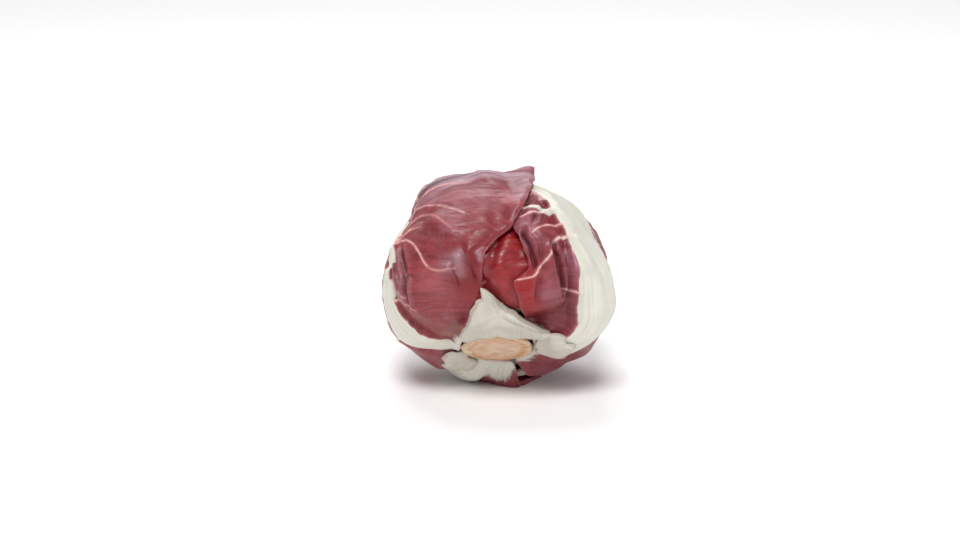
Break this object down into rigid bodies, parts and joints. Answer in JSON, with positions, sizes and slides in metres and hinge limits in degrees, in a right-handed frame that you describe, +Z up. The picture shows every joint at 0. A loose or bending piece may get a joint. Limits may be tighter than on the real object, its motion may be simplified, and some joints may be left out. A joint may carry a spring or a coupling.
{
  "type": "radicchio head",
  "caption": "Round red radicchio head lying on its side, with overlapping ribbed wrapper leaves round a tight heart, a cut stem and torn leaf stubs.",
  "frame": {"origin": "on the surface the head rests on, straight below the heart's centre", "axes": "+Z up from that surface, -Y towards the side the cut stem faces (it dips 36 degrees below the horizontal), +X to the right of someone who looks along +Y"},
  "size_m": [0.1107, 0.1057, 0.1048],
  "materials": {
    "wrapper_leaves": "waxy wine-red leaf with ivory ribs and veins",
    "front_leaf": "glossy bright red leaf",
    "heart_leaves": "tightly packed dark red leaves",
    "torn_stubs": "fleshy ivory leaf base, torn",
    "cut_stem": "damp cut face, browned at its edge"
  },
  "bodies": {
    "root": {"heart": "heart_leaves", "stem": "cut_stem", "crown_leaf": "wrapper_leaves", "under_right_leaf": "wrapper_leaves", "top_left_leaf": "wrapper_leaves", "back_right_leaf": "wrapper_leaves", "under_left_leaf": "wrapper_leaves", "front_leaf": "front_leaf", "right_leaf": "wrapper_leaves", "left_leaf": "wrapper_leaves", "torn_left_stub": "torn_stubs", "torn_right_stub": "torn_stubs", "torn_front_stub": "torn_stubs"}
  },
  "joints": []
}
